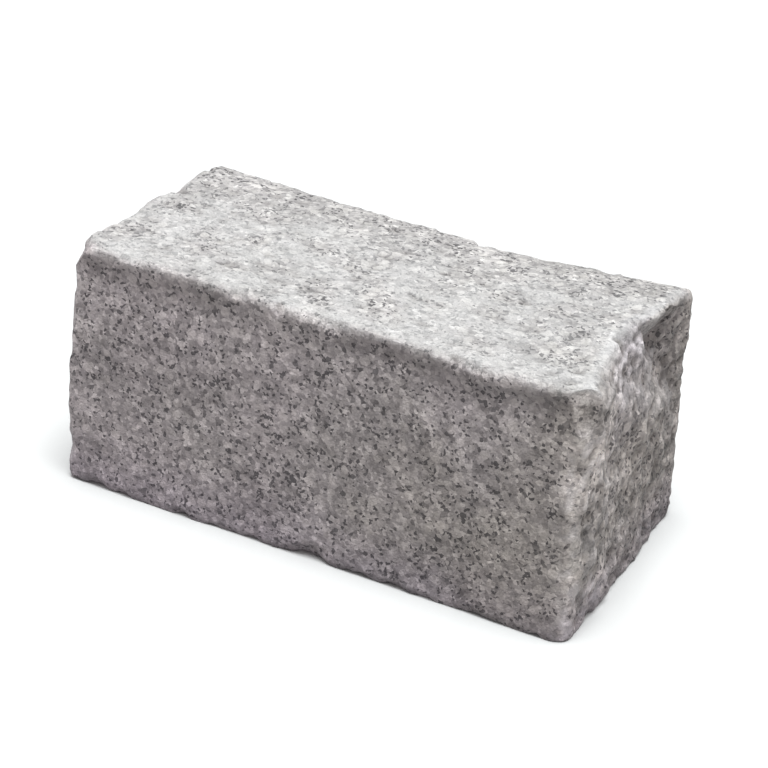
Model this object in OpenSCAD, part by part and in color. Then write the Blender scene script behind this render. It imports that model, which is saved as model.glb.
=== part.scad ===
// Split granite kerb stone: one block with split faces, broken arrises and a dressed bed.
// Millimetres, +Z up. The origin is the middle of the bed, the length runs along X,
// the face side looks along -Y and the free end along +X.

/* [Block] */
// Length along the kerb line
stone_length = 410; // [300:1:600]
// Depth from the face side to the back
stone_depth = 226; // [150:1:320]
// Height from the bed to the top
stone_height = 191; // [140:1:300]

/* [Split faces] */
// Relief of the face side, which was split cleanest
face_relief = 4; // [0:0.5:12]
// Relief of the back
back_relief = 9; // [0:0.5:14]
// Relief of the end that butts against the next stone
joint_relief = 7; // [0:0.5:14]
// Relief of the free end
end_relief = 9; // [0:0.5:14]
// Relief of the top
top_relief = 6; // [0:0.5:12]
// How far the free end leans in at the top, on the face side
end_lean_front = 4; // [0:0.5:20]
// How far the free end leans in at the top, at the back
end_lean_back = 15; // [0:0.5:30]
// How much deeper the back stands out at the free end than along the rest
back_flare = 16; // [0:0.5:40]
// Length over which the back flares out
flare_run = 140; // [60:5:280]
// How far the top falls at its back edge
top_fall = 7; // [0:0.5:20]
// Length over which the top falls
fall_run = 52; // [20:1:100]
// How far a face runs out of square from one side of the block to the other
out_of_square = 4; // [0:0.5:12]
// Length of the broadest wave in a split face
split_wave = 120; // [60:5:240]
// Number that picks the fracture pattern
split_seed = 7; // [0:1:99]

/* [Bed] */
// Relief of the underside before it is dressed
bed_relief = 8; // [0:0.5:14]
// Share of that relief which the dressing strikes off
bed_dressing = 0.6; // [0.4:0.05:0.9]

/* [Arrises] */
// Least width of a broken arris
arris_break = 2; // [1:0.5:12]
// Extra width where an arris has been knocked hardest
arris_knock = 8; // [0:0.5:20]
// Extra width of the upright arris between the face side and the free end
end_blunting = 6; // [0:0.5:16]
// Distance along an arris from one knock to the next
knock_pitch = 34; // [20:1:80]

/* [Spalls] */
// Greatest depth of the slanting spall in the free end
spall_depth = 12; // [0:0.5:20]
// Steepest that the spall slopes in from its foot, as depth to height
spall_slope = 0.5; // [0.1:0.05:0.8]
// Distance below the top at which the foot of the spall meets the back
spall_foot = 108; // [50:1:160]
// Height of the ledge from that foot up to the crease
spall_ledge = 8; // [6:1:24]
// Distance below the top at which the brow of the spall meets the back
spall_brow = 24; // [10:1:40]
// Distance from the back at which the crease meets the top
crease_from_back = 96; // [60:1:140]
// Distance from the back at which the brow meets the top
brow_from_back = 70; // [40:1:130]
// Share of the spall's depth that is left at the back
spall_at_back = 0.1; // [0:0.05:1]
// Length over which it grows shallower to the back
spall_fade = 50; // [20:1:110]
// Depth of the pocket under the brow
pocket_depth = 11; // [0:0.5:16]
// Length of the pocket along the end
pocket_length = 48; // [30:1:90]
// Height of the pocket
pocket_height = 42; // [24:1:70]
// Distance of its middle from the back
pocket_from_back = 58; // [30:1:140]
// Distance of its middle below the top
pocket_from_top = 22; // [16:1:60]
// Depth struck off the top corner beside the joint
top_corner_spall = 12; // [0:0.5:40]
// Depth struck off the bottom corner beside the joint
bottom_corner_spall = 6; // [0:0.5:40]

/* [Facets] */
// Width of the fine strip beside each arris
fine_strip = 24; // [18:1:40]
// Facets across that strip
fine_facets = 4; // [2:1:5]
// Facets along the open part of a face
facets_long = 32; // [12:1:34]
// Facets over the open part of its depth
facets_deep = 20; // [6:1:22]
// Facets up the open part of its height
facets_high = 17; // [6:1:18]

/* [Hidden] */

granite = "#9b9794";
half = [stone_length, stone_depth, stone_height] / 2;
open_facets = [round(facets_long), round(facets_deep), round(facets_high)];
counts = [for (n = open_facets) n + 2 * fine_facets];

// Reliefs of the low and the high side along X, Y and Z. The bed's runs below its plane, to be cut there.
reliefs = [[joint_relief, end_relief], [face_relief, back_relief], [bed_relief, top_relief]];
sunk_share = [[0, 0], [0, 0], [bed_dressing, 0]];

// Each corner struck off: which corner, the steepness of the break along X, Y and Z, and its depth.
corner_spalls = [
    [[-1, -1, 1], [0.75, 0.35, 0.55], top_corner_spall],
    [[-1, -1, -1], [0.85, 0.3, 0.42], bottom_corner_spall],
];

// Noise: a repeatable number from 0 to 1 for each cell of a grid, blended smoothly between cells.
function cell(i, j, seed) =
    let (n = sin(i * 127.1 + j * 311.7 + seed * 74.7) * 43758.5453) n - floor(n);
function mix(a, b, t) = a + (b - a) * t;
function ease(t) = t * t * (3 - 2 * t);
function noise(x, y, seed) =
    let (i = floor(x), j = floor(y), u = ease(x - i), v = ease(y - j))
    mix(mix(cell(i, j, seed), cell(i + 1, j, seed), u),
        mix(cell(i, j + 1, seed), cell(i + 1, j + 1, seed), u), v);

// Three octaves of noise, each half as long and half as high as the one before. The middle one is creased.
function fracture(x, y, seed) =
    (4 * noise(x, y, seed) + 2 * abs(2 * noise(2 * x, 2 * y, seed + 1) - 1)
     + noise(4 * x, 4 * y, seed + 2)) / 7;

function side(v) = v < 0 ? 0 : 1;
function sign_of(v) = v < 0 ? -1 : 1;
function next(axis) = (axis + 1) % 3;
function after(axis) = (axis + 2) % 3;

// Width of the broken arris that runs along an axis, at a point on it.
function arris_width(p, axis) =
    let (u = next(axis), v = after(axis),
         arris = 1 + 4 * axis + 2 * side(p[u]) + side(p[v]),
         knock = noise(p[axis] / knock_pitch, arris, split_seed + 57),
         blunt = axis == 2 && p[0] > 0 && p[1] < 0)
    arris_break + arris_knock * pow(knock, 3) + (blunt ? end_blunting : 0);

// Cuts one arris: where the two insets beside it add up to less than its width, both grow to make it up.
function broken_along(inset, axis, width) =
    let (u = next(axis), v = after(axis), cut = max(0, width - inset[u] - inset[v]) / 2)
    [for (k = [0:2]) k == axis ? inset[k] : inset[k] + cut];

// A point of the plain block, moved in where the arrises are broken.
function broken(p) =
    let (inset = [for (k = [0:2]) half[k] - abs(p[k])],
         along_z = broken_along(inset, 2, arris_width(p, 2)),
         along_y = broken_along(along_z, 1, arris_width(p, 1)),
         along_x = broken_along(along_y, 0, arris_width(p, 0)))
    [for (k = [0:2]) sign_of(p[k]) * (half[k] - along_x[k])];

// A point moved back to the plane of a struck corner if it stands outside it.
function spalled(p, i = 0) =
    i == len(corner_spalls) ? p :
    let (corner = corner_spalls[i][0], slope = corner_spalls[i][1] / norm(corner_spalls[i][1]),
         from_corner = [for (k = [0:2]) half[k] - corner[k] * p[k]],
         over = max(0, corner_spalls[i][2] - slope * from_corner))
    spalled([for (k = [0:2]) p[k] - over * corner[k] * slope[k]], i + 1);

// How far below the top a line across the free end lies. It meets the top at a distance from the back, and
// the back at a distance below the top.
function line_drop(p, from_back, at_back) = at_back * (1 - (half[1] - p[1]) / from_back);

// Depth of the slanting spall at a place on the free end. It grows from nothing at its brow to the most at
// its crease, and slopes out again to its foot. In front of the crease that slope reaches the top.
function end_spall(p) =
    let (down = half[2] - p[2], from_back = half[1] - p[1],
         brow = line_drop(p, brow_from_back, spall_brow),
         crease = max(0, line_drop(p, crease_from_back, spall_foot - spall_ledge)),
         foot = line_drop(p, stone_depth, spall_foot),
         share = min(1, (down - brow) / max(1, crease - brow), (foot - down) / max(1, foot - crease)),
         fade = mix(1, spall_at_back, ease(max(0, 1 - from_back / spall_fade))))
    max(0, min(spall_depth * share, spall_slope * (foot - down))) * fade;

// Depth of the pocket under the brow: a bowl with an oval rim.
function end_pocket(p) =
    let (along = (p[1] - half[1] + pocket_from_back) * 2 / pocket_length,
         up = (p[2] - half[2] + pocket_from_top) * 2 / pocket_height)
    pocket_depth * max(0, 1 - along * along - up * up);

// How far the free end leans in: nothing at its foot, and more at the back than on the face side.
function end_lean(p) =
    mix(end_lean_front, end_lean_back, (p[1] / half[1] + 1) / 2) * (p[2] / half[2] + 1) / 2;

// How far the free end stands in altogether.
function end_set(p) = end_spall(p) + end_pocket(p) + end_lean(p);

// How far the back stands in: nothing at the free end, then all of the flare.
function back_set(p) = back_flare * ease(min(1, max(0, (half[0] - p[0]) / flare_run)));

// How far the top has fallen: nothing over most of its depth, then more and more towards its back edge.
function top_set(p) = top_fall * pow(max(0, 1 - (half[1] - p[1]) / fall_run), 2);

// How far a split face lies inside the plain block: its tilt and its relief at a place on it.
function face_depth(axis, high, p) =
    let (u = next(axis), v = after(axis), seed = split_seed + 6 * axis + 3 * high,
         tilt_u = cell(seed, 1, 5) - 0.5, tilt_v = cell(seed, 2, 5) - 0.5,
         tilt = axis == 2 && high == 0 ? 0 : tilt_u * p[u] / half[u] + tilt_v * p[v] / half[v])
    out_of_square * tilt / 2
    + reliefs[axis][high] * (fracture(p[u] / split_wave, p[v] / split_wave, seed) - sunk_share[axis][high])
    + (high == 0 ? 0 : axis == 0 ? end_set(p) : axis == 1 ? back_set(p) : top_set(p));

// Each coordinate is shared out between the two split faces on its axis, so no facet folds over.
function split(p) = [for (k = [0:2])
    let (share = (p[k] / half[k] + 1) / 2)
    p[k] + face_depth(k, 0, p) * (1 - share) - face_depth(k, 1, p) * share];

// Facet lines along one axis: fine beside both arrises, even in between.
function lines(axis) =
    let (edge = half[axis], open = edge - fine_strip)
    concat([for (i = [0:fine_facets - 1]) -edge + fine_strip * i / fine_facets],
           [for (i = [0:open_facets[axis]]) mix(-open, open, i / open_facets[axis])],
           [for (i = [fine_facets - 1:-1:0]) edge - fine_strip * i / fine_facets]);

line_x = lines(0);
line_y = lines(1);
line_z = lines(2);

function on_skin(i, j, k) =
    i == 0 || j == 0 || k == 0 || i == counts[0] || j == counts[1] || k == counts[2];
function index(c) = (c[0] * (counts[1] + 1) + c[1]) * (counts[2] + 1) + c[2];

// The points of the whole grid in order. Those inside the block are not used by any facet.
grid = [for (i = [0:counts[0]], j = [0:counts[1]], k = [0:counts[2]])
    let (p = [line_x[i], line_y[j], line_z[k]])
    on_skin(i, j, k) ? split(spalled(broken(p))) : p];

// The index of the grid point at (a, b) on the low or the high side across an axis.
function skin_index(axis, high, a, b) =
    let (at = high * counts[axis])
    index(axis == 0 ? [at, a, b] : axis == 1 ? [b, at, a] : [a, b, at]);

// Two facets for each square of the grid, their diagonal turned every other square.
function square_facets(axis, high, a, b) =
    let (p = skin_index(axis, high, a, b), q = skin_index(axis, high, a + 1, b),
         r = skin_index(axis, high, a + 1, b + 1), s = skin_index(axis, high, a, b + 1),
         turned = (a + b) % 2 == 0,
         low = turned ? [[p, q, r], [p, r, s]] : [[p, q, s], [q, r, s]])
    high == 0 ? low : [for (f = low) [f[0], f[2], f[1]]];

facets = [for (axis = [0:2], high = [0:1],
               a = [0:counts[next(axis)] - 1], b = [0:counts[after(axis)] - 1])
    each square_facets(axis, high, a, b)];

// Middle of the finished outline in plan, so that the origin is under it.
ends_x = [for (p = grid) p[0]];
ends_y = [for (p = grid) p[1]];
plan_middle = [max(ends_x) + min(ends_x), max(ends_y) + min(ends_y)] / 2;

// The stone as split, standing on the plane of its bed with the bed's high spots below it.
module split_block() {
    translate([-plan_middle[0], -plan_middle[1], half[2]])
        polyhedron(points = grid, faces = facets, convexity = 4);
}

// What the dressing of the bed strikes off: everything below its plane.
module bed_waste() {
    reach = 2 * max(half);
    translate([-reach, -reach, -reach])
        cube([2 * reach, 2 * reach, reach]);
}

module kerb_stone() {
    color(granite)
        difference() {
            split_block();
            bed_waste();
        }
}

kerb_stone();
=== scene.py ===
import bpy
import numpy as np
from mathutils import Matrix, Vector


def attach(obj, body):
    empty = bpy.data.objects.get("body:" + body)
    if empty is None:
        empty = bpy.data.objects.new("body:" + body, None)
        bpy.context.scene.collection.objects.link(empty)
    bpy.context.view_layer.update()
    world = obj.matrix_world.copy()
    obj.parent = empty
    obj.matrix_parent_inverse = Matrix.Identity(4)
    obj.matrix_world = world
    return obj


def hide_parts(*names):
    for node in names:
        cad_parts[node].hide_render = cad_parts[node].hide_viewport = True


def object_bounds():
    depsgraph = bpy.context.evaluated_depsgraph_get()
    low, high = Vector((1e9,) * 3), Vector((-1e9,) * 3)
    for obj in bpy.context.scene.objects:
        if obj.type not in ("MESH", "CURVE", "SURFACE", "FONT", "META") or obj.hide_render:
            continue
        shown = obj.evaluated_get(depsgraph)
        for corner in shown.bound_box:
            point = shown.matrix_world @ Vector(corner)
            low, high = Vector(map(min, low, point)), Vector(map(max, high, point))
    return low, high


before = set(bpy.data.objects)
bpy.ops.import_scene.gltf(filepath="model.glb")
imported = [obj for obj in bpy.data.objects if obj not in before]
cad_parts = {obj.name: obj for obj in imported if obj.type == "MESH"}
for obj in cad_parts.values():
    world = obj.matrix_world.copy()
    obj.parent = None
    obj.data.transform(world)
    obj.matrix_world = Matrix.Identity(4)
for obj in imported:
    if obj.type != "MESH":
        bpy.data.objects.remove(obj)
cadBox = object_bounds()
print("frame loaded:", sorted(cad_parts))

# The numbers behind all noise: odd factors that scatter the indices of a grid cell.
scatter = {
    "indices": (374761393, 668265263, 2246822519),
    "seed": 3266489917,
    "rounds": [(13, 1274126177), (15, 2654435761)],  # bits to shift by, and factor
    "lastShift": 16,
    "range": 2 ** 32,
    "axisStep": 11,     # what one axis adds to the seed
    "ownStep": 77,      # and what a cell's own number adds to it
    "noiseGain": 1.5,   # brings smooth noise to about -1 to 1
}


# A repeatable number from 0 to 1 for each grid cell: its three indices times large odd numbers, added up,
# then rounds of folding the high bits down and multiplying again.
def cellNumber(cell, seed):
    h = (cell.astype(np.uint32) * np.array(scatter["indices"], np.uint32)).sum(1, dtype=np.uint32)
    h = h + np.uint32(seed * scatter["seed"] % scatter["range"])
    for shift, factor in scatter["rounds"]:
        h = (h ^ (h >> np.uint32(shift))) * np.uint32(factor)
    return (h ^ (h >> np.uint32(scatter["lastShift"]))) / (scatter["range"] - 1.0)


# A repeatable random point in each grid cell: one such number for each axis.
def cellPoint(cell, seed):
    return np.stack([cellNumber(cell, seed + scatter["axisStep"] * axis) for axis in range(3)], 1)


# Smooth noise, about -1 to 1: every corner of a point's cell has a slope in a random direction, and the
# heights of the eight slopes at the point are blended by a fifth-degree ease curve.
def swellNoise(p, size, seed):
    q = p / size
    base = np.floor(q)
    f = q - base
    ease = f ** 3 * (f * (f * 6 - 15) + 10)
    total = np.zeros(len(p))
    for corner in np.ndindex(2, 2, 2):
        slope = cellPoint((base + corner).astype(np.int64), seed) * 2 - 1
        share = np.prod(np.where(np.array(corner) == 1, ease, 1 - ease), axis=1)
        total += share * ((f - corner) * slope).sum(1)
    return total * scatter["noiseGain"]


# Dishes with sharp rims: the squared distance to the nearest of one random point per cell, how much
# further it is to the second nearest, and the nearest cell's own number.
def dishes(p, size, seed):
    q = p / size
    base = np.floor(q)
    nearest, second, number = np.full(len(p), np.inf), np.full(len(p), np.inf), np.zeros(len(p))
    for offset in np.ndindex(3, 3, 3):
        cell = (base + offset - 1).astype(np.int64)
        square = ((q - (cell + cellPoint(cell, seed))) ** 2).sum(1)
        closer = square < nearest
        second = np.where(closer, nearest, np.minimum(second, square))
        nearest = np.where(closer, square, nearest)
        number = np.where(closer, cellNumber(cell, seed + scatter["ownStep"]), number)
    return nearest, second - nearest, number


# Runs from 0 at low to 1 at high: three times t squared less twice t cubed.
def eased(x, low, high):
    t = np.clip((x - low) / (high - low), 0, 1)
    return t * t * (3 - 2 * t)


# The stone, how it broke and weathered, and the light and shade painted on it. Lengths are in metres.
stone = {
    "node": "kerb_stone",
    "slot": "granite",
    "openMesh": 0.0024,            # mesh size in the middle of a face
    "arrisMesh": 0.0012,           # and at an arris
    "meshRun": 0.030,              # distance over which the one becomes the other
    "lineSamples": 4001,           # places along a side at which the mesh size is worked out
    "coreInset": 0.050,            # depth below the outer box at which the rays start
    "rayReach": 1.2,               # how far they look, against the distance to the arrises' box
    "rayBatch": 500,               # how many are worked out at a time
    "raySlack": 0.0001,            # how far outside a triangle a hit still counts, against its edges
    "leastArea": 1e-12,            # smaller triangles and normals count as nothing
    "onEdge": 1e-9,                # distance at which a point counts as lying on an edge of the box
    "arrisStations": 140,          # places along each arris at which the solid is cut to find it
    "arrisBlur": 0.0015,           # how far round an arris counts towards its middle
    "arrisEase": 3,                # smoothing passes along it
    "easeStep": 0.5,               # how far a pass over the skin goes towards the mean of the neighbours
    "easePasses": 14,              # passes over the open faces
    "easeRun": (0.003, 0.016),     # distances from an arris at which they begin and are complete
    "cornerEase": (0.002, 0.010),  # the eight corners: full smoothing up to here, and none from there
    "cornerPasses": 6,
    # roughness of the six sides, the low and the high one along x, y and z
    "roughness": {"joint": 0.0028, "end": 0.0056, "face": 0.0009, "back": 0.0036,
                  "bed": 0.0012, "top": 0.0018},
    "sideBlend": 0.012,            # width of the strip in which two sides share their roughness
    "arrisCalm": 0.45,             # share of the roughness that is left right on an arris
    "hollowPasses": 40,            # passes that find the hollows
    "hollowFull": 0.0012,          # depth at which a hollow's painted shade is at its darkest
    "bruiseWidth": 0.007,          # width of the bruised strip on each side of an arris
    "bluntWidth": (0.009, 0.024),  # width of the rub at the blunt upright, on the face side and the free end
    "bluntFade": (0.020, 0.055),   # depths below the top at which its bruise begins and is complete
    # the broken surface: size of the form, its share of the roughness, and seed
    "relief": {
        "noises": [(0.046, 0.55, 1), (0.0048, 0.28, 7)],                     # swells and grit
        "dishes": [(0.040, 0.90, 13), (0.021, 0.70, 3), (0.0095, 0.50, 5)],  # shells, dishes and flakes
        "dishMean": 0.28,          # mean height of a dish, in squared cells
        # holes where grains came out: cell size, share of the cells, depth on the roughest side, and seed
        "holes": [(0.0170, 0.34, 0.0030, 17), (0.0090, 0.16, 0.0013, 9)],
        "holeRim": 0.2,            # squared radius of a hole in cells
        "holeBorder": 0.25,        # and how softly it ends at its cell's border
    },
    # the hollow that runs along the face side under its top arris
    "lip": {
        "depth": 0.0028,
        "from": 0.001,             # distance below the arris where it begins
        "deepest": 0.016,
        "to": 0.060,               # and where it has run out
        "patch": (0.070, 21),      # length over which it comes and goes, and seed
        "comes": (-0.5, 0.2),      # noise at which it begins and is complete
        "shadeAndStain": 0.7,              # how dark its painted shade and stain is, against a deep hollow
        "shadeAndStainRun": (0.008, 0.028),    # distances below the arris at which the painted shade and stain thin out and end
    },
    # chips knocked off the arrises
    "chips": {
        "seed": 31,
        "pitch": 0.013,            # one chip to this length of arris
        "depth": (0.0004, 0.0026),
        "length": (0.003, 0.013),  # half length along the arris
        "smallness": 3,            # the higher, the more of them are small
        "lengthBySize": 0.6,       # share of the length that goes with the depth
        "lean": 0.38,              # how far a chip leans towards one of its two faces
        "twist": 0.3,              # and along the arris
        "most": 1.4,               # most that it takes off anywhere, against its depth there
        "clear": 0.018,            # how far chips keep from a corner
        "upright": 0.4,            # depth on the uprights, against the other arrises
        # the knocked corner over the blunt upright: direction, depth and half width
        "corner": ((0.70, -0.66, 0.25), 0.0055, 0.030),
    },
    # the free end: painted shade on overhangs, painted light on slopes that face up, flecks beside the face
    # side
    "end": {
        "overhang": (0.06, 0.40),  # how far a surface looks down where the painted shade begins and is full
        "overhangShade": 0.85,
        "slope": (0.06, 0.26),     # how far it looks up where its painted light begins and is full
        "palest": (0.70, 0.012, 0.034),    # how much more painted light it gets right under the top, and where that ends
        "patches": [(0.020, 41, 1.1), (0.0095, 47, 0.6)],  # lighter and darker: size, seed and strength
        "fleck": 1.15,
        "fleckRun": (0.030, 0.120),    # distances from the face side at which they thin out and end
        "fleckBelow": (0.020, 0.030),  # depths below the top at which they begin and are at their densest
        "fleckPatch": (0.011, 43),     # size and seed
        "fleckComes": (-0.1, 0.3),     # noise at which a fleck begins and is full
        "fleckClean": 0.6,         # share of the overhangs' painted shade that is missing among them
        # how much paler the flecked strip is at its top and foot, and the heights over the stone's middle
        "pale": [(0.95, -0.010, 0.025), (0.38, -0.020, -0.060)],
        # the painted shadow under the knocked corner, and the depths below the top where it begins and ends
        "cornerShadow": 1.0,
        "cornerFrom": (0.003, 0.009),
        "cornerTo": (0.015, 0.024),
    },
    # the top: washed pale in patches, and not along its back edge
    "wash": {
        "onTop": (0.3, 0.7),       # share of the top at which a point begins to belong to it, and does
        "fromBack": (0.028, 0.095),    # distances from the back at which the wash begins and is full
        "mean": 0.72,
        "patch": (0.028, 27),      # size and seed
        "patchShare": 1.25,        # how much the patches add and take away
        "hollowClear": 0.9,        # share of it that is missing in the deepest hollows
    },
}

edgeSigns = ((-1, -1), (-1, 1), (1, -1), (1, 1))  # the four edges along an axis, by their sides


# Grid lines along one side: the mesh size grows from the arris inwards, and lines are set at
# equal steps of the running sum of one over that size.
def gridLines(length):
    x = np.linspace(-length / 2, length / 2, stone["lineSamples"])
    inwards = eased(length / 2 - np.abs(x), 0, stone["meshRun"])
    size = stone["arrisMesh"] + (stone["openMesh"] - stone["arrisMesh"]) * inwards
    steps = np.concatenate([[0], np.cumsum((x[1] - x[0]) / ((size[1:] + size[:-1]) / 2))])
    return np.interp(np.linspace(0, steps[-1], int(round(steps[-1])) + 1), steps, x)


# The outside of a box lattice: a grid of two parameters on each of the six sides, welded where
# the sides meet by giving every lattice point one key. Squares are turned to face outwards.
def boxSkin(counts):
    squares = []
    for axis in range(3):
        u, v = (axis + 1) % 3, (axis + 2) % 3
        for high in (0, 1):
            index = np.zeros((counts[u] + 1, counts[v] + 1, 3), np.int64)
            index[..., axis] = high * counts[axis]
            index[..., u] = np.arange(counts[u] + 1)[:, None]
            index[..., v] = np.arange(counts[v] + 1)[None, :]
            key = (index[..., 0] * (counts[1] + 1) + index[..., 1]) * (counts[2] + 1) + index[..., 2]
            around = [key[:-1, :-1], key[1:, :-1], key[1:, 1:], key[:-1, 1:]]
            if not high:
                around.reverse()
            squares.append(np.stack([k.ravel() for k in around], 1))
    keys, squares = np.unique(np.concatenate(squares), return_inverse=True)
    lattice = np.stack([keys // ((counts[1] + 1) * (counts[2] + 1)),
                        keys // (counts[2] + 1) % (counts[1] + 1), keys % (counts[2] + 1)], 1)
    return lattice, squares.reshape(-1, 4)


# Every edge of the squares once, as its two points in rising order.
def edgePairs(squares):
    pairs = np.concatenate([squares[:, [0, 1]], squares[:, [1, 2]], squares[:, [2, 3]], squares[:, [3, 0]]])
    return np.unique(np.sort(pairs, axis=1), axis=0)


# The stone's grid on the outer box, with each point's distance in from the three pairs of sides, from the
# nearest arris and from the top. Its weight in a side falls evenly to nothing over the blend, and what it
# is "on" is that weight as a share of all six.
def stoneGrid():
    low, high = (np.array(c) for c in cadBox)
    half = (high - low) / 2
    lines = [gridLines(2 * h) for h in half]
    lattice, squares = boxSkin([len(x) - 1 for x in lines])
    outer = np.stack([lines[k][lattice[:, k]] for k in range(3)], 1)
    inset = half - np.abs(outer)
    weight = np.stack([np.clip(1 - (half[k] - s * outer[:, k]) / stone["sideBlend"], 0, 1)
                       for k in range(3) for s in (-1, 1)], 1)
    print("stone: grid of", len(outer), "points,", 2 * len(squares), "triangles")
    return {"squares": squares, "pairs": edgePairs(squares), "middle": (low + high) / 2, "half": half,
            "outer": outer, "inset": inset, "toArris": np.sort(inset, axis=1)[:, 1],
            "below": half[2] - outer[:, 2], "weight": weight,
            "on": dict(zip(stone["roughness"], (weight / weight.sum(1)[:, None]).T))}


# The solid's triangles as three corners each, without those that have no area.
def cadTriangles(name):
    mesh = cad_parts[name].data
    mesh.calc_loop_triangles()
    co = np.zeros(len(mesh.vertices) * 3)
    mesh.vertices.foreach_get("co", co)
    tri = np.zeros(len(mesh.loop_triangles) * 3, np.int64)
    mesh.loop_triangles.foreach_get("vertices", tri)
    corners = co.reshape(-1, 3)[tri.reshape(-1, 3)]
    area = np.linalg.norm(np.cross(corners[:, 1] - corners[:, 0], corners[:, 2] - corners[:, 0]), axis=1)
    return corners[area > stone["leastArea"]]


# How far along its ray each ray leaves the solid. A triangle's two edges and its normal, inverted,
# turn a point into the triangle's own coordinates, where the hit is a matter of signs.
def exitShare(start, ray, corners):
    a, e1, e2 = corners[:, 0], corners[:, 1] - corners[:, 0], corners[:, 2] - corners[:, 0]
    own = np.linalg.inv(np.stack([e1, e2, np.cross(e1, e2)], 2))
    shift = np.einsum("nij,nj->ni", own, a)
    o = [start @ own[:, k].T - shift[:, k] for k in range(3)]
    d = [ray @ own[:, k].T for k in range(3)]
    with np.errstate(divide="ignore", invalid="ignore"):
        t = -o[2] / d[2]
        b1, b2 = o[0] + t * d[0], o[1] + t * d[1]
    slack = stone["raySlack"]
    inside = (b1 > -slack) & (b2 > -slack) & (b1 + b2 < 1 + slack) & (t > 0)
    return np.where(inside, t, -1).max(1)


# The same for all rays, a batch of one side at a time, against the triangles whose boxes the batch meets.
def allExits(start, ray, side, corners):
    t = np.full(len(start), -1.0)
    low, high = corners.min(1), corners.max(1)
    for s in np.unique(side):
        mine = np.flatnonzero(side == s)
        for part in np.array_split(mine, max(1, len(mine) // stone["rayBatch"])):
            ends = np.concatenate([start[part], start[part] + stone["rayReach"] * ray[part]])
            near = np.all((low <= ends.max(0)) & (high >= ends.min(0)), axis=1)
            t[part] = exitShare(start[part], ray[part], corners[near])
    return t


# Where points reach furthest along a diagonal: their mean, weighed by how far each reaches, so that
# a broken arris gives the middle of its break.
def furthest(points, diagonal):
    reach = points @ (diagonal / np.linalg.norm(diagonal))
    weight = np.exp((reach - reach.max()) / stone["arrisBlur"])
    return weight @ points / weight.sum()


# One arris from corner to corner: at each station the solid's edges are cut across the axis, and the cut's
# furthest place is taken. Passes that weigh the neighbours once and the middle twice smooth the line.
def arrisLine(points, ends, axis, diagonal, first, last):
    count = stone["arrisStations"]
    line = first + np.linspace(0, 1, count)[:, None] * (last - first)
    for i in range(1, count - 1):
        x = line[i, axis]
        cut = (points[:, axis] < x) != (ends[:, axis] < x)
        a, b = points[cut], ends[cut]
        section = a + ((x - a[:, axis]) / (b[:, axis] - a[:, axis]))[:, None] * (b - a)
        line[i] = furthest(section, diagonal)
    for _ in range(stone["arrisEase"]):
        line[1:-1] = (line[:-2] + 2 * line[1:-1] + line[2:]) / 4
    return line


# Moves every point of the box so that the box's edges lie on the solid's arrises. In between, the moves of
# the four edges along each axis are shared out by distance and added up, less twice those of the corners.
def onArrises(grid, corners):
    outer, half = grid["outer"], grid["half"]
    points = corners.reshape(-1, 3) - grid["middle"]
    ends = points.reshape(-1, 3, 3)[:, [1, 2, 0]].reshape(-1, 3)
    q = outer / half
    at = np.linspace(-1, 1, stone["arrisStations"])
    signs = np.array(list(np.ndindex(2, 2, 2))) * 2 - 1
    corner = {tuple(c): furthest(points, c) for c in signs}
    move = np.zeros_like(outer)
    for c in signs:
        move -= 2 * np.prod((1 + c * q) / 2, axis=1)[:, None] * (corner[tuple(c)] - c * half)
    for axis in range(3):
        u, v = (axis + 1) % 3, (axis + 2) % 3
        for su, sv in edgeSigns:
            c = np.zeros(3, int)
            c[u], c[v] = su, sv
            first, last = (corner[tuple(c + s * np.eye(3, dtype=int)[axis])] for s in (-1, 1))
            line = arrisLine(points, ends, axis, c, first, last)
            plain = at[:, None] * half * np.eye(3)[axis] + c * half
            here = np.stack([np.interp(q[:, axis], at, (line - plain)[:, k]) for k in range(3)], 1)
            move += ((1 + su * q[:, u]) * (1 + sv * q[:, v]) / 4)[:, None] * here
    return outer + move


# Smoothing: each value moves towards the mean of its neighbours along the edges, by its own share.
def easedOver(values, pairs, share, passes):
    n = len(values)
    many = np.bincount(pairs.ravel(), minlength=n)
    for _ in range(passes):
        total = (np.bincount(pairs[:, 0], values[pairs[:, 1]], n)
                 + np.bincount(pairs[:, 1], values[pairs[:, 0]], n))
        values = values + share * stone["easeStep"] * (total / many - values)
    return values


# The same for a shape, one coordinate at a time.
def easedShape(p, pairs, share, passes):
    return np.stack([easedOver(p[:, k], pairs, share, passes) for k in range(3)], 1)


# Normals: the cross product of each square's diagonals, added up at its corners.
def skinNormals(p, squares):
    cross = np.cross(p[squares[:, 2]] - p[squares[:, 0]], p[squares[:, 3]] - p[squares[:, 1]])
    total = np.stack([np.bincount(squares.ravel(), np.repeat(cross[:, k], 4), len(p)) for k in range(3)], 1)
    return total / np.maximum(np.linalg.norm(total, axis=1, keepdims=True), stone["leastArea"])


# The skin on the solid: rays run from a core box to the arrises' box, and each point lies where its ray
# leaves the solid. Away from the arrises the rays' lengths are smoothed.
def onSolid(grid):
    outer, half = grid["outer"], grid["half"]
    axis = grid["inset"].argmin(1)
    side = 2 * axis + (outer[np.arange(len(outer)), axis] > 0)
    core = outer * (half - stone["coreInset"]) / half
    corners = cadTriangles(stone["node"])
    ray = onArrises(grid, corners) - core
    t = allExits(core + grid["middle"], ray, side, corners)
    print("stone: rays that missed", int((t < 0).sum()))
    t = np.where(t < 0, 1.0, t)
    t = easedOver(t, grid["pairs"], eased(grid["toArris"], *stone["easeRun"]), stone["easePasses"])
    return core + grid["middle"] + t[:, None] * ray


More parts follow.
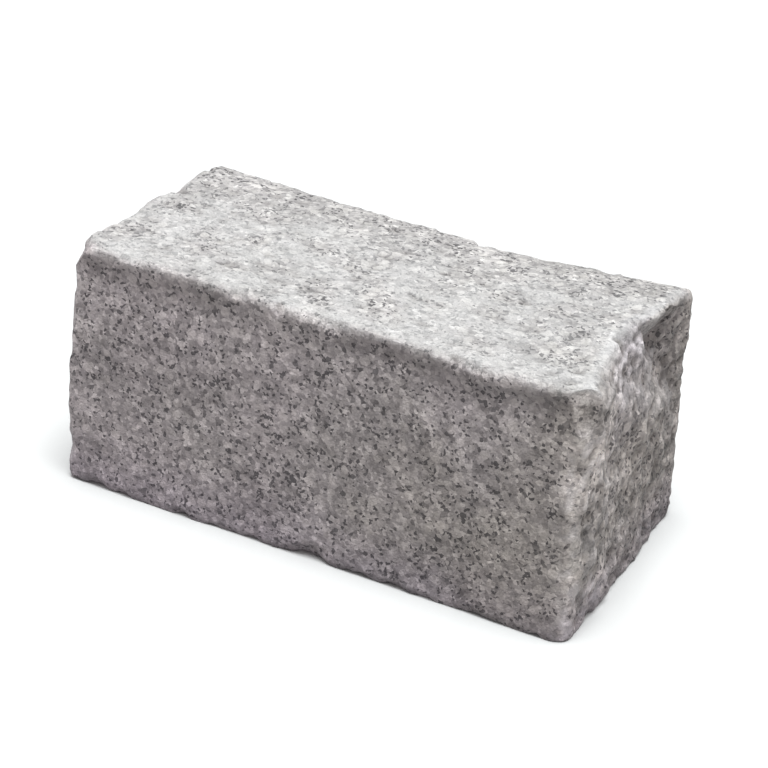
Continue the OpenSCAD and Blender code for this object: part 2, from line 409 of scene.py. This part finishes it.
# The broken surface, raised along the normals by each side's roughness: noise, dishes less their mean, bowls
# in some of the cells, and the lip's hollow, which deepens and runs out by eased steps.
def brokenSurface(p, grid, lipComes):
    relief, lip, below, calm = stone["relief"], stone["lip"], grid["below"], stone["arrisCalm"]
    rough = np.array(list(stone["roughness"].values()))
    amount = (grid["weight"] * rough).sum(1) / grid["weight"].sum(1)
    amount = amount * (calm + (1 - calm) * eased(grid["toArris"], 0, stone["sideBlend"]))
    rise = np.zeros(len(p))
    for size, strength, seed in relief["noises"]:
        rise += amount * strength * swellNoise(p, size, seed)
    for size, strength, seed in relief["dishes"]:
        rise += amount * strength * (dishes(p, size, seed)[0] - relief["dishMean"])
    for size, share, depth, seed in relief["holes"]:
        square, border, number = dishes(p, size, seed)
        hole = np.clip(1 - square / relief["holeRim"], 0, 1) * np.clip(border / relief["holeBorder"], 0, 1)
        rise -= depth * (number < share) * hole * amount / rough.max()
    rise -= (lip["depth"] * grid["on"]["face"] * lipComes * eased(below, lip["from"], lip["deepest"])
             * (1 - eased(below, lip["deepest"], lip["to"])))
    print("stone: relief from %.2f to %.2f mm" % (rise.min() * 1000, rise.max() * 1000))
    return p + rise[:, None] * skinNormals(p, grid["squares"])


# One chip: along the arris its depth falls off as a parabola, and what stands outside that curved cut is
# pressed back towards it along the chip's own direction, by little more than the depth there.
def chipOff(p, at, outward, along, depth, length):
    outward = outward / np.linalg.norm(outward)
    run = along - outward * (along @ outward)
    apart = p - p[at]
    deep = depth * np.maximum(0, 1 - (apart @ (run / np.linalg.norm(run)) / length) ** 2)
    over = np.clip(apart @ outward + deep, 0, stone["chips"]["most"] * deep)
    return p - over[:, None] * outward


# Chips along the twelve arrises, at random places and with random leans. Their sizes are a random number to
# a power, laid out between the least and the most. Then the knocked corner.
def chippedArrises(p, grid):
    chips, outer, half = stone["chips"], grid["outer"], grid["half"]
    leastDepth, mostDepth = chips["depth"]
    leastLength, mostLength = chips["length"]
    bySize = chips["lengthBySize"]
    rng = np.random.default_rng(chips["seed"])
    made = 0
    for axis in range(3):
        u, v = (axis + 1) % 3, (axis + 2) % 3
        along, faceU, faceV = np.eye(3)[[axis, u, v]]
        for su, sv in edgeSigns:
            edge = np.flatnonzero((outer[:, u] * su > half[u] - stone["onEdge"])
                                  & (outer[:, v] * sv > half[v] - stone["onEdge"])
                                  & (np.abs(outer[:, axis]) < half[axis] - chips["clear"]))
            edge = edge[np.argsort(outer[edge, axis])]
            for _ in range(int(2 * half[axis] / chips["pitch"])):
                at = edge[rng.integers(len(edge))]
                lean = rng.uniform(-chips["lean"], chips["lean"])
                outward = su * faceU * (1 + lean) + sv * faceV * (1 - lean)
                outward = outward + along * rng.uniform(-chips["twist"], chips["twist"])
                size = rng.random() ** chips["smallness"]
                depth = leastDepth + (mostDepth - leastDepth) * size
                depth *= chips["upright"] if axis == 2 else 1
                share = bySize * size + (1 - bySize) * rng.random()
                length = leastLength + (mostLength - leastLength) * share
                p = chipOff(p, at, outward, along, depth, length)
                made += 1
    outward, depth, length = chips["corner"]
    tip = np.argmin(((outer - half * (1, -1, 1)) ** 2).sum(1))
    p = chipOff(p, tip, np.array(outward), np.cross(outward, (0, 0, 1)), depth, length)
    print("stone: chips on the arrises", made)
    return p


# One value for each point under each name that the granite reads. Hollows are where the skin lies behind
# its own smoothed shape, and are painted darker, as shade with some dirt. Strips fall off from an arris as
# bell curves, painted shade, stains and washes by eased steps in depth, distance or slope, and patches are
# noise.
def weatherAndPaintedLight(p, grid, lipComes):
    lip, end, wash, on = stone["lip"], stone["end"], stone["wash"], grid["on"]
    outer, half, inset, below = grid["outer"], grid["half"], grid["inset"], grid["below"]
    soft = easedShape(p, grid["pairs"], 1.0, stone["hollowPasses"])
    behind = ((soft - p) * skinNormals(p, grid["squares"])).sum(1)
    upward = skinNormals(soft, grid["squares"])[:, 2]

    # the blunt upright is rubbed, and the free end is flecked beside it
    atUpright = (outer[:, 0] > 0) & (outer[:, 1] < 0)
    rubbed = atUpright * np.exp(-((inset[:, :2] / stone["bluntWidth"]) ** 2).sum(1))
    flecked = np.maximum(on["end"] * (1 - eased(half[1] + outer[:, 1], *end["fleckRun"])), rubbed)
    flecked = flecked * eased(below, *end["fleckBelow"])
    fleck = end["fleck"] * flecked * eased(swellNoise(p, *end["fleckPatch"]), *end["fleckComes"])
    bruise = np.maximum(np.exp(-(grid["toArris"] / stone["bruiseWidth"]) ** 2),
                        rubbed * eased(below, *stone["bluntFade"]))

    # painted shade: with some dirt in hollows, with a stain along the lip, and alone under the knocked corner
    # and under overhangs
    # painted shade with a stain, under the lip's overhang on the face side
    lipShadeAndStain = lip["shadeAndStain"] * on["face"] * lipComes * (1 - eased(below, *lip["shadeAndStainRun"]))
    # painted shadow under the knocked corner, by the blunt upright
    cornerShadow = end["cornerShadow"] * rubbed * eased(below, *end["cornerFrom"])
    cornerShadow = cornerShadow * (1 - eased(below, *end["cornerTo"]))
    # painted shade on surfaces that look down
    overhang = end["overhangShade"] * (1 - on["bed"]) * (1 - end["fleckClean"] * flecked)
    overhang = overhang * eased(-upward, *end["overhang"])
    # painted shade with some dirt: darker where the skin lies behind its own smoothed shape
    shadeAndDirt = np.clip(behind / stone["hollowFull"], 0, 1)
    shadeAndDirt = np.maximum.reduce([shadeAndDirt, lipShadeAndStain, cornerShadow, overhang])

    # painted light on slopes that face up, and patches, on the free end, and the washed top
    more, start, stop = end["palest"]
    # slopes of the free end that face up are painted paler: painted light
    upLitSlopes = on["end"] * eased(upward, *end["slope"]) * (1 + more * (1 - eased(below, start, stop)))
    patchy = sum(strength * swellNoise(p, size, seed) for size, seed, strength in end["patches"])
    pale = sum(share * eased(outer[:, 2], start, full) for share, start, full in end["pale"])
    onTop = eased(on["top"], *wash["onTop"])
    washed = (onTop * eased(half[1] - outer[:, 1], *wash["fromBack"]) * (1 - wash["hollowClear"] * shadeAndDirt)
              * (wash["mean"] + wash["patchShare"] * swellNoise(p, *wash["patch"])))
    print("stone: shadedAndDirty share %.2f, washed share %.2f" % (shadeAndDirt.mean(), np.clip(washed, 0, 1).mean()))
    return {"bruise": bruise, "shadeAndDirt": shadeAndDirt, "onTop": onTop, "washed": np.clip(washed, 0, 1),
            "paleFlecksAndPaintedLight": np.maximum(fleck, upLitSlopes) * (1 - shadeAndDirt),
            "mottle": on["end"] * patchy + flecked * pale}


# All of it in turn: grid, solid, broken surface, chips, eased corners, the bed back on its plane, weather and
# painted shade.
def makeStone():
    grid = stoneGrid()
    p = onSolid(grid)
    lipComes = eased(swellNoise(p, *stone["lip"]["patch"]), *stone["lip"]["comes"])
    p = brokenSurface(p, grid, lipComes)
    p = chippedArrises(p, grid)
    atCorner = 1 - eased(grid["inset"].max(1), *stone["cornerEase"])
    p = easedShape(p, grid["pairs"], atCorner, stone["cornerPasses"])
    p[:, 2] = np.maximum(p[:, 2], cadBox[0][2])
    return p, grid["squares"], weatherAndPaintedLight(p, grid, lipComes)


# A new object, linked into the scene.
def addObject(name, data):
    made = bpy.data.objects.new(name, data)
    bpy.context.scene.collection.objects.link(made)
    return made


# A mesh of squares with smooth faces, and one value for each point under each attribute's name.
def meshPiece(name, p, squares, attributes):
    mesh = bpy.data.meshes.new(name)
    mesh.vertices.add(len(p))
    mesh.vertices.foreach_set("co", p.astype(np.float32).ravel())
    mesh.loops.add(squares.size)
    mesh.loops.foreach_set("vertex_index", squares.astype(np.int32).ravel())
    mesh.polygons.add(len(squares))
    mesh.polygons.foreach_set("loop_start", np.arange(0, squares.size, 4, dtype=np.int32))
    mesh.polygons.foreach_set("loop_total", np.full(len(squares), 4, np.int32))
    mesh.polygons.foreach_set("use_smooth", np.ones(len(squares), bool))
    mesh.update(calc_edges=True)
    mesh.validate()
    for key, values in attributes.items():
        mesh.attributes.new(key, "FLOAT", "POINT").data.foreach_set("value", values.astype(np.float32))
    return addObject(name, mesh)


# An empty node tree for a material or a world.
def newTree(owner):
    owner.use_nodes = True
    owner.node_tree.nodes.clear()
    return owner.node_tree


# A node with its settings and inputs. An input that is a socket is linked, anything else is set.
def addNode(tree, kind, inputs=None, **settings):
    made = tree.nodes.new(kind)
    for key, value in settings.items():
        setattr(made, key, value)
    for key, value in (inputs or {}).items():
        if isinstance(value, bpy.types.NodeSocket):
            tree.links.new(value, made.inputs[key])
        else:
            made.inputs[key].default_value = value
    return made


# Sums with two or three values.
def maths(tree, operation, a, b=0.5, c=0.5):
    return addNode(tree, "ShaderNodeMath", {0: a, 1: b, 2: c}, operation=operation).outputs[0]


# Sums with two vectors.
def vectors(tree, operation, a, b=(0, 0, 0), out="Vector"):
    return addNode(tree, "ShaderNodeVectorMath", {0: a, 1: b}, operation=operation).outputs[out]


# A vector times a value.
def scaled(tree, vector, by):
    made = addNode(tree, "ShaderNodeVectorMath", {0: vector, "Scale": by}, operation="SCALE")
    return made.outputs["Vector"]


# A random colour, 0 to 1, as a vector round zero.
def centred(tree, colour):
    return vectors(tree, "SUBTRACT", colour, (0.5, 0.5, 0.5))


# A value carried over from one range to another, and held at the ends.
def spread(tree, value, low, high, toLow=0.0, toHigh=1.0):
    return addNode(tree, "ShaderNodeMapRange", {"Value": value, "From Min": low, "From Max": high,
                                                "To Min": toLow, "To Max": toHigh}).outputs["Result"]


# Smooth noise, 0 to 1, by its waves to the metre and how much finer noise is added to it.
def noise(tree, place, waves, detail, out="Fac"):
    made = addNode(tree, "ShaderNodeTexNoise", {"Vector": place, "Scale": waves, "Detail": detail})
    return made.outputs[out]


# A value that the mesh carries at each point.
def carried(tree, name):
    return addNode(tree, "ShaderNodeAttribute", attribute_name=name).outputs["Fac"]


# Two colours mixed. Inputs 6 and 7 and output 2 are the node's colour sockets.
def mixed(tree, factor, a, b, blend="MIX"):
    a, b = (c if isinstance(c, bpy.types.NodeSocket) else (*c, 1) for c in (a, b))
    made = addNode(tree, "ShaderNodeMix", {0: factor, 6: a, 7: b}, data_type="RGBA", blend_type=blend)
    return made.outputs[2]


# A colour for each value, by stops that it runs or jumps between.
def ramp(tree, factor, stops, interpolation="LINEAR"):
    made = addNode(tree, "ShaderNodeValToRGB", {"Fac": factor})
    made.color_ramp.interpolation = interpolation
    points = made.color_ramp.elements
    while len(points) < len(stops):
        points.new(0.5)
    for point, (at, colour) in zip(points, stops):
        point.position = at
        point.color = (*colour, 1)
    return made.outputs["Color"]


# A colour times a grey that runs between two shades while the value runs between two others.
def shaded(tree, colour, value, run, shades):
    greys = [(at, (shade, shade, shade)) for at, shade in zip(run, shades)]
    return mixed(tree, 1.0, colour, ramp(tree, value, greys), "MULTIPLY")


# The granite. Sizes are in metres, and each noise has its waves to the metre and its detail.
granite = {
    "crystal": 0.0030,
    "bigCrystal": 0.0084,
    "mica": 0.0019,
    "bendNoise": (230.0, 2.0),     # bends the outlines of the crystals
    "bend": 0.0032,                # by this much
    "minerals": [  # where each begins in the draw from 0 to 1, and its colour
        (0.00, (0.15, 0.146, 0.147)),
        (0.025, (0.26, 0.251, 0.25)),
        (0.10, (0.37, 0.357, 0.355)),
        (0.44, (0.46, 0.444, 0.436)),
        (0.78, (0.56, 0.546, 0.532)),
    ],
    "crystalShade": (0.84, 1.12),  # darkest and lightest crystal of a mineral
    "bigFeldspar": (0.57, 0.553, 0.535),
    "bigDraw": (0.20, 0.17),       # draws below which a large cell is faintly and fully a feldspar
    "bigEdge": (0.46, 0.40),       # and distances from its middle, in cells, below which it shows so
    "bigCover": 0.85,
    "micaColour": (0.105, 0.101, 0.104),
    "micaNoise": (75.0, 2.0),      # gathers the mica in clusters
    "micaShare": (0.40, 0.70, 0.02, 0.24),     # range of that noise, and of the share of mica over it
    "bruised": (0.59, 0.585, 0.57),
    "bruiseNoise": (160.0, 3.0),   # breaks the bruises up into patches
    "bruiseShare": (0.45, 0.62, 0.0, 0.7),     # range of that noise, and of the bruises over it
    # pale flecks beside the upright, and painted light on the free end's slopes that face up
    "paleFlecksAndPaintedLight": (0.672, 0.672, 0.690),
    "paleFlecksAndPaintedLightShare": 0.50,
    "toneNoise": (9.0, 3.0),       # broad tone, from mauve and light to warm and dark
    "toneRun": (0.95, 0.5, 0.0),   # its drift along x, y and z
    "tones": [(0.28, (1.11, 1.015, 1.05)), (0.50, (1.0, 0.93, 0.945)), (0.72, (0.92, 0.855, 0.825))],
    "toneOffTop": 0.8,             # share of it that the top lacks
    "foot": (0.885, 0.862, 0.935),
    "footRise": 0.050,             # height up to which the foot is darker: painted shade near the floor, with a mauve tint
    "mottles": [((34.0, 1.0), 0.125), ((85.0, 1.0), 0.14)],    # patches, and how much they lighten and darken
    "mottleRun": (0.3, 0.7),       # noise at which they are darkest and lightest
    "endMottle": 0.65,             # how strongly the free end's own patches show
    "washed": (0.593, 0.584, 0.582),
    "washShare": 0.49,
    # painted shade with some dirt: darker in hollows, along the lip, under the knocked corner and under
    # overhangs
    "shadeAndDirtColour": (0.52, 0.51, 0.505),
    "shadeAndDirtShare": 0.75,
    "sugarNoise": (620.0, 3.0),    # the finest grain
    "sugarRun": (0.3, 0.6),
    "sugarShade": (0.86, 1.04),
    "sugarHeight": 0.0007,
    "facets": (0.0011, 0.0016, 0.0005),    # how steeply the faces of crystals, feldspars and mica lean
    "roughness": (0.46, 0.78),
    "specular": 0.35,
}


# Crystals as the cells of a bent space: three random numbers for each, the distance from its middle, and its
# facet, which rises from the middle along a random lean.
def crystalCells(tree, bent, size):
    at = scaled(tree, bent, 1 / size)
    made = addNode(tree, "ShaderNodeTexVoronoi", {"Vector": at, "Scale": 1.0}, feature="F1")
    draw = addNode(tree, "ShaderNodeSeparateColor", {"Color": made.outputs["Color"]}).outputs
    away = vectors(tree, "SUBTRACT", at, made.outputs["Position"])
    facet = vectors(tree, "DOT_PRODUCT", away, centred(tree, made.outputs["Color"]), out="Value")
    return draw, made.outputs["Distance"], facet


# The sound stone: a mineral for each crystal, large feldspars over them, and mica in clusters between these.
# Gives the colour, the height of the facets added up, and a random number for each crystal.
def soundGranite(tree, place):
    bend = centred(tree, noise(tree, place, *granite["bendNoise"], out="Color"))
    bent = vectors(tree, "ADD", place, scaled(tree, bend, granite["bend"]))
    draw, _, facet = crystalCells(tree, bent, granite["crystal"])
    bigDraw, bigAway, bigFacet = crystalCells(tree, bent, granite["bigCrystal"])
    micaDraw, _, micaFacet = crystalCells(tree, bent, granite["mica"])

    colour = ramp(tree, draw["Red"], granite["minerals"], "CONSTANT")
    colour = shaded(tree, colour, draw["Green"], (0, 1), granite["crystalShade"])
    isBig = maths(tree, "MULTIPLY", spread(tree, bigDraw["Red"], *granite["bigDraw"]),
                  spread(tree, bigAway, *granite["bigEdge"]))
    colour = mixed(tree, maths(tree, "MULTIPLY", isBig, granite["bigCover"]), colour, granite["bigFeldspar"])
    micaShare = spread(tree, noise(tree, place, *granite["micaNoise"]), *granite["micaShare"])
    isMica = maths(tree, "LESS_THAN", micaDraw["Red"], micaShare)
    isMica = maths(tree, "MULTIPLY", isMica, maths(tree, "SUBTRACT", 1.0, isBig))
    colour = mixed(tree, isMica, colour, granite["micaColour"])

    height = 0.0
    for leaning, steep in zip((facet, bigFacet, micaFacet), granite["facets"]):
        height = maths(tree, "MULTIPLY_ADD", leaning, steep, height)
    return colour, height, draw["Blue"]


# What happened to it, and the light and shade painted on it: bruises, pale flecks with painted light on
# slopes that face up, a broad tone with a darker foot (painted shade near the floor, and a mauve tint),
# patches, the washed top, and painted shade with some dirt in the hollows, along the lip, under the knocked
# corner and under overhangs. Each is mixed in, or multiplied, by a share that the mesh carries or a noise
# gives.
def weatheredAndShadedGranite(tree, place, colour):
    share = spread(tree, noise(tree, place, *granite["bruiseNoise"]), *granite["bruiseShare"])
    colour = mixed(tree, maths(tree, "MULTIPLY", carried(tree, "bruise"), share), colour, granite["bruised"])
    # pale flecks beside the upright, and painted light on the free end's slopes that face up
    share = maths(tree, "MULTIPLY", carried(tree, "paleFlecksAndPaintedLight"), granite["paleFlecksAndPaintedLightShare"])
    colour = mixed(tree, share, colour, granite["paleFlecksAndPaintedLight"])

    drift = vectors(tree, "DOT_PRODUCT", place, granite["toneRun"], out="Value")
    tone = maths(tree, "ADD", noise(tree, place, *granite["toneNoise"]), drift)
    share = maths(tree, "MULTIPLY_ADD", carried(tree, "onTop"), -granite["toneOffTop"], 1.0)
    colour = mixed(tree, share, colour, ramp(tree, tone, granite["tones"]), "MULTIPLY")
    # the foot: painted shade near the floor, with a mauve tint
    height = addNode(tree, "ShaderNodeSeparateXYZ", {"Vector": place}).outputs["Z"]
    share = spread(tree, height, granite["footRise"], 0.0)
    colour = mixed(tree, share, colour, granite["foot"], "MULTIPLY")

    for patches, much in granite["mottles"]:
        shades = (1 - much, 1 + much)
        colour = shaded(tree, colour, noise(tree, place, *patches), granite["mottleRun"], shades)
    patchy = maths(tree, "MULTIPLY_ADD", carried(tree, "mottle"), granite["endMottle"], 1.0)
    colour = mixed(tree, 1.0, colour, patchy, "MULTIPLY")
    share = maths(tree, "MULTIPLY", carried(tree, "washed"), granite["washShare"])
    colour = mixed(tree, share, colour, granite["washed"])
    # painted shade with some dirt: darker in hollows, along the lip, under the knocked corner and under
    # overhangs
    share = maths(tree, "MULTIPLY", carried(tree, "shadeAndDirt"), granite["shadeAndDirtShare"])
    return mixed(tree, share, colour, granite["shadeAndDirtColour"], "MULTIPLY")


# The material: sound stone, weathered and with light and shade painted on, with a sugary grain over it in
# colour and height.
def graniteMaterial():
    material = bpy.data.materials.new("splitGranite")
    tree = newTree(material)
    place = addNode(tree, "ShaderNodeTexCoord").outputs["Object"]
    colour, height, number = soundGranite(tree, place)
    colour = weatheredAndShadedGranite(tree, place, colour)
    sugar = noise(tree, place, *granite["sugarNoise"])
    colour = shaded(tree, colour, sugar, granite["sugarRun"], granite["sugarShade"])
    height = maths(tree, "MULTIPLY_ADD", sugar, granite["sugarHeight"], height)
    bump = addNode(tree, "ShaderNodeBump", {"Height": height, "Strength": 1.0, "Distance": 1.0})
    rough = spread(tree, number, 0.0, 1.0, *granite["roughness"])
    shader = addNode(tree, "ShaderNodeBsdfPrincipled", {
        "Base Color": colour, "Roughness": rough, "Normal": bump.outputs["Normal"],
        "Specular IOR Level": granite["specular"]})
    addNode(tree, "ShaderNodeOutputMaterial", {"Surface": shader.outputs[0]})
    print("granite: made of", len(tree.nodes), "nodes")
    return material


kerbStone = meshPiece("kerbStone", *makeStone())
kerbStone.data.materials.append(graniteMaterial())
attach(kerbStone, "root")
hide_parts(stone["node"])
print("stone: made and placed")


# One where a ray sees the thing itself, from the camera, in a gloss or through glass, and none for
# the light that it throws on others.
def seenItself(tree):
    path = addNode(tree, "ShaderNodeLightPath").outputs
    seen = maths(tree, "MAXIMUM", path["Is Camera Ray"], path["Is Glossy Ray"])
    return maths(tree, "MAXIMUM", seen, path["Is Transmission Ray"])


# The floor's grey where it is seen, and for the light that it throws back.
ground = {
    "size": 8.0,
    "seen": (0.74, 0.74, 0.74),
    "bounce": (0.30, 0.30, 0.30),
}


# A square at the height of the bed.
def makeFloor():
    h = ground["size"] / 2
    mesh = bpy.data.meshes.new("floor")
    mesh.from_pydata([(-h, -h, 0), (h, -h, 0), (h, h, 0), (-h, h, 0)], [], [(0, 1, 2, 3)])
    floor = addObject("floor", mesh)
    material = bpy.data.materials.new("paleFloor")
    tree = newTree(material)
    bounced, shown = (addNode(tree, "ShaderNodeBsdfDiffuse", {"Color": (*ground[key], 1)}).outputs[0]
                      for key in ("bounce", "seen"))
    both = addNode(tree, "ShaderNodeMixShader", {0: seenItself(tree), 1: bounced, 2: shown})
    addNode(tree, "ShaderNodeOutputMaterial", {"Surface": both.outputs[0]})
    mesh.materials.append(material)


# Soft light from overhead, and dim light all round in front of white.
light = {
    "place": (0.35, -0.70, 6.0),
    "aim": (0.0, 0.0, 0.1),
    "size": 3.9,
    "power": 520.0,
    "colour": (0.965, 1.0, 1.0),
    "allRound": (0.385, 0.376, 0.376),
    "behind": (1.0, 1.0, 1.0),
}


# A square lamp turned to its aim, and a world that is white where it is seen.
def makeLight():
    lamp = bpy.data.lights.new("overhead", "AREA")
    lamp.shape = "SQUARE"
    lamp.size = light["size"]
    lamp.energy = light["power"]
    lamp.color = light["colour"]
    overhead = addObject("overhead", lamp)
    overhead.location = light["place"]
    sight = Vector(light["aim"]) - Vector(light["place"])
    overhead.rotation_euler = sight.to_track_quat("-Z", "Y").to_euler()

    world = bpy.data.worlds.new("studio")
    bpy.context.scene.world = world
    tree = newTree(world)
    dim, white = (addNode(tree, "ShaderNodeBackground", {"Color": (*light[key], 1), "Strength": 1.0})
                  for key in ("allRound", "behind"))
    both = addNode(tree, "ShaderNodeMixShader", {0: seenItself(tree), 1: dim.outputs[0], 2: white.outputs[0]})
    addNode(tree, "ShaderNodeOutputWorld", {"Surface": both.outputs[0]})


# Where the camera stands, in degrees round its aim and metres away from it, and its lens in mm.
view = {
    "aim": (0.0, 0.0, 0.0924),
    "azimuth": 24.4,
    "elevation": 26.5,
    "roll": 5.6,
    "distance": 1.613,
    "lens": 103.7,
}


# The camera stands on a sphere round its aim and is turned about its own line of sight.
def makeCamera():
    a, e, r = np.radians([view["azimuth"], view["elevation"], view["roll"]])
    back = np.array([np.sin(a) * np.cos(e), -np.cos(a) * np.cos(e), np.sin(e)])
    level = np.array([np.cos(a), np.sin(a), 0])
    right = np.cos(r) * level + np.sin(r) * np.cross(back, level)
    camera = addObject("camera", bpy.data.cameras.new("camera"))
    camera.data.lens = view["lens"]
    turn = np.eye(4)
    turn[:3, :3] = np.stack([right, np.cross(back, right), back], 1)
    turn[:3, 3] = np.array(view["aim"]) + view["distance"] * back
    camera.matrix_world = Matrix(turn.tolist())
    bpy.context.scene.camera = camera


makeFloor()
makeLight()
makeCamera()
bpy.context.scene.view_settings.view_transform = "Standard"
print("studio: floor, light and camera set")
